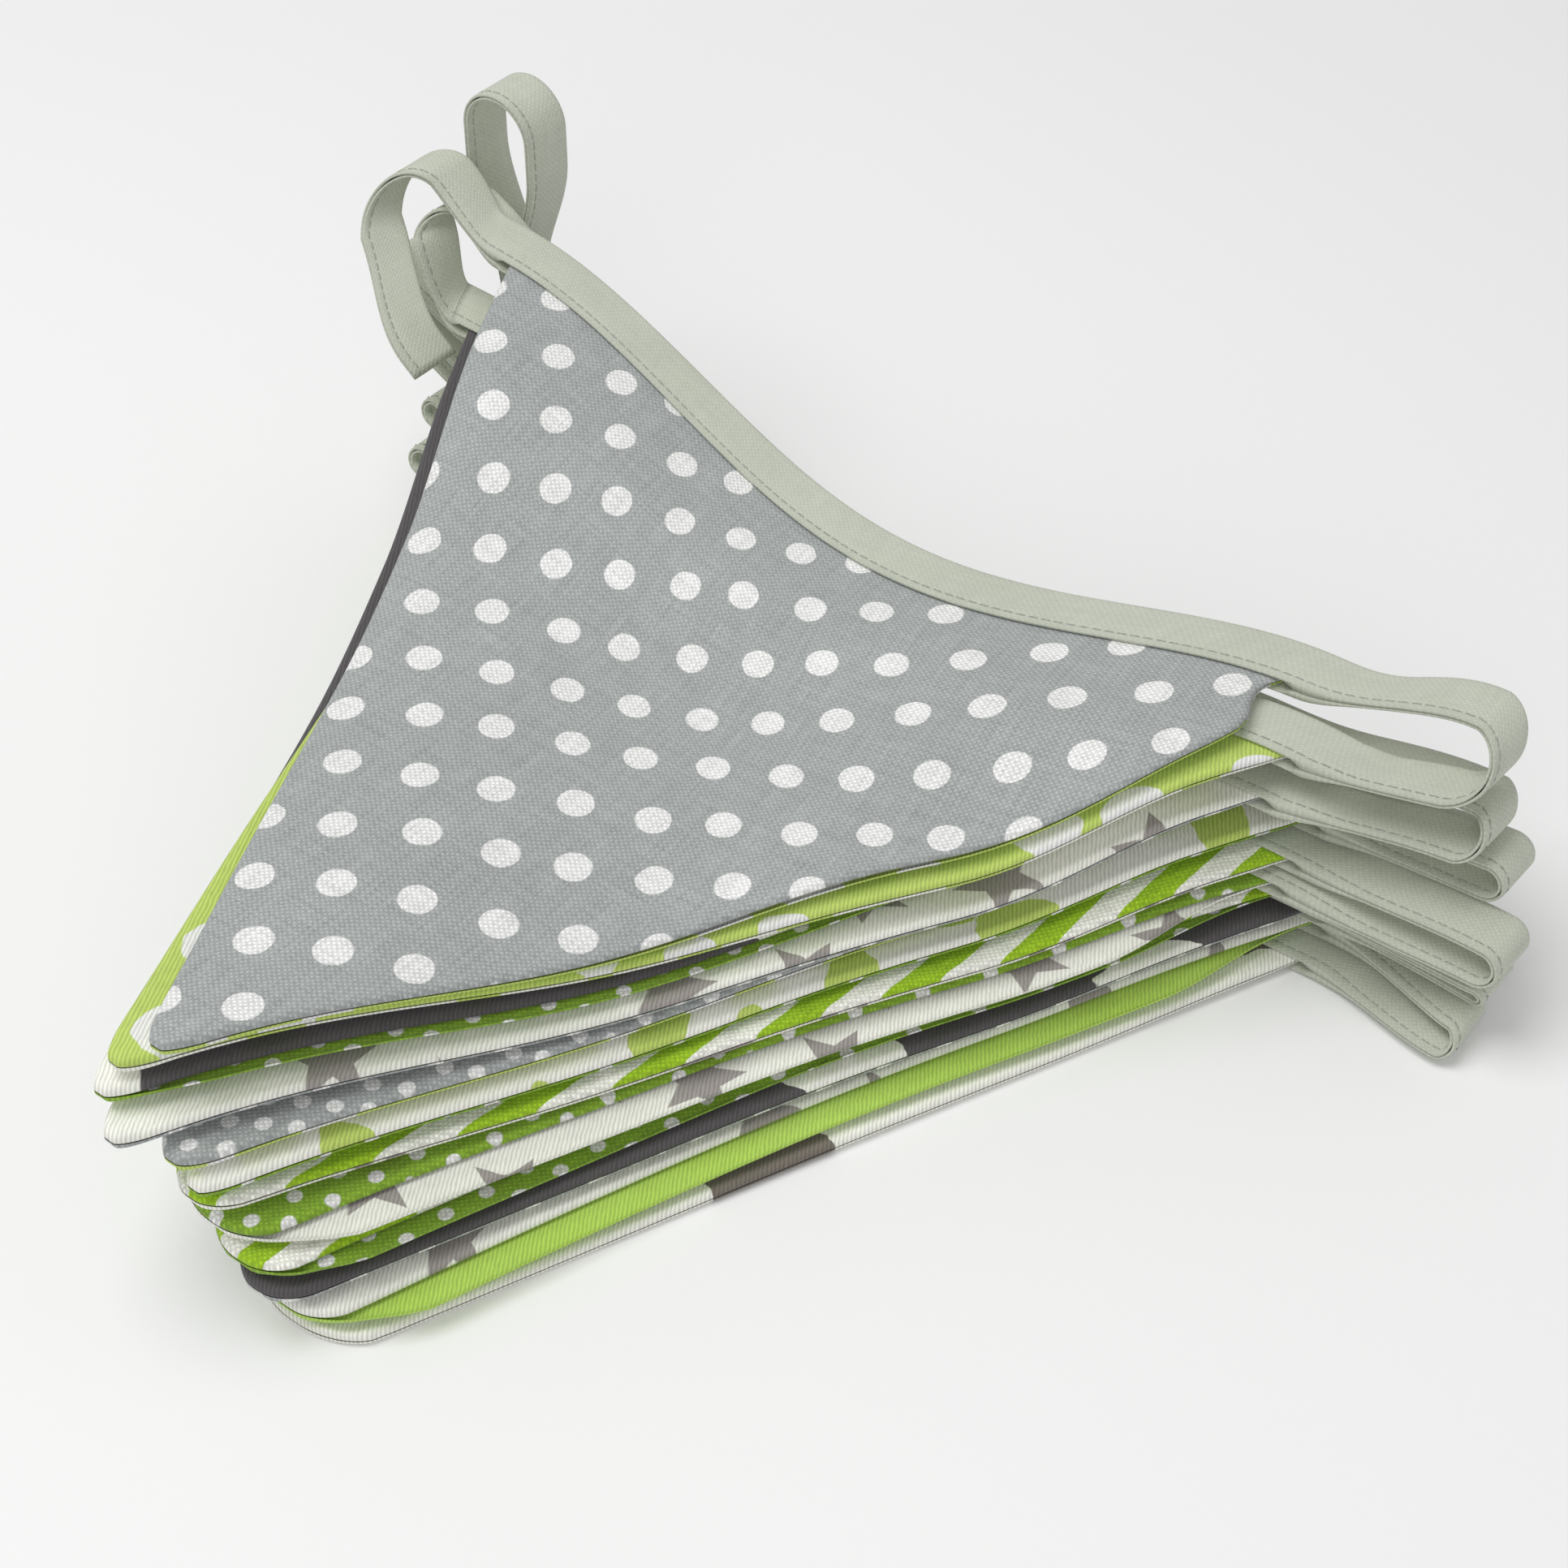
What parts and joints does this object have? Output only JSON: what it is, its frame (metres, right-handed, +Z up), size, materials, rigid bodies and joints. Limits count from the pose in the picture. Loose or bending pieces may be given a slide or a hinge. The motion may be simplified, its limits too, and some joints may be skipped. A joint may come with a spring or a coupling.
{
  "type": "folded fabric bunting",
  "caption": "String of double-sided printed cloth pennants on a sewn tape, folded back and forth into one flat stack with loose tape bights at both ends.",
  "frame": {"origin": "under the middle of the folded stack, on the surface it lies on", "axes": "+X along the tape, +Y from the points of the pennants to the tape, +Z up"},
  "size_m": [0.2774, 0.2278, 0.093],
  "materials": {
    "grey_dots": "plain weave cotton, grey with white dots",
    "lime_spots": "cotton twill, lime with large white spots",
    "charcoal": "cotton twill, charcoal and white print",
    "green_dots": "plain weave cotton, green with small white dots",
    "white_stars": "cotton twill, off-white with grey stars",
    "grey_fine_dots": "plain weave cotton, grey with small white dots",
    "white_leaves": "cotton twill, off-white with lime leaf shapes",
    "plain_lime": "cotton twill, plain bright lime",
    "lime_stripes": "plain weave cotton, lime and white diagonal stripes",
    "white_taupe": "cotton twill, off-white with large taupe shapes",
    "tape": "folded cotton tape, sage, with a stitch line"
  },
  "bodies": {
    "root": {"pennant_01_upper": "grey_dots", "pennant_01_lower": "lime_spots", "pennant_02_upper": "lime_spots", "pennant_02_lower": "white_leaves", "pennant_03_upper": "charcoal", "pennant_03_lower": "green_dots", "pennant_04_upper": "white_stars", "pennant_04_lower": "grey_fine_dots", "pennant_05_upper": "grey_fine_dots", "pennant_05_lower": "lime_spots", "pennant_06_upper": "white_leaves", "pennant_06_lower": "green_dots", "pennant_07_upper": "lime_stripes", "pennant_07_lower": "white_stars", "pennant_08_upper": "green_dots", "pennant_08_lower": "white_stars", "pennant_09_upper": "lime_stripes", "pennant_09_lower": "green_dots", "pennant_10_upper": "charcoal", "pennant_10_lower": "grey_fine_dots", "pennant_11_upper": "white_stars", "pennant_11_lower": "plain_lime", "pennant_12_upper": "white_taupe", "pennant_12_lower": "white_taupe", "tape": "tape", "hanging_loop": "tape"}
  },
  "joints": []
}
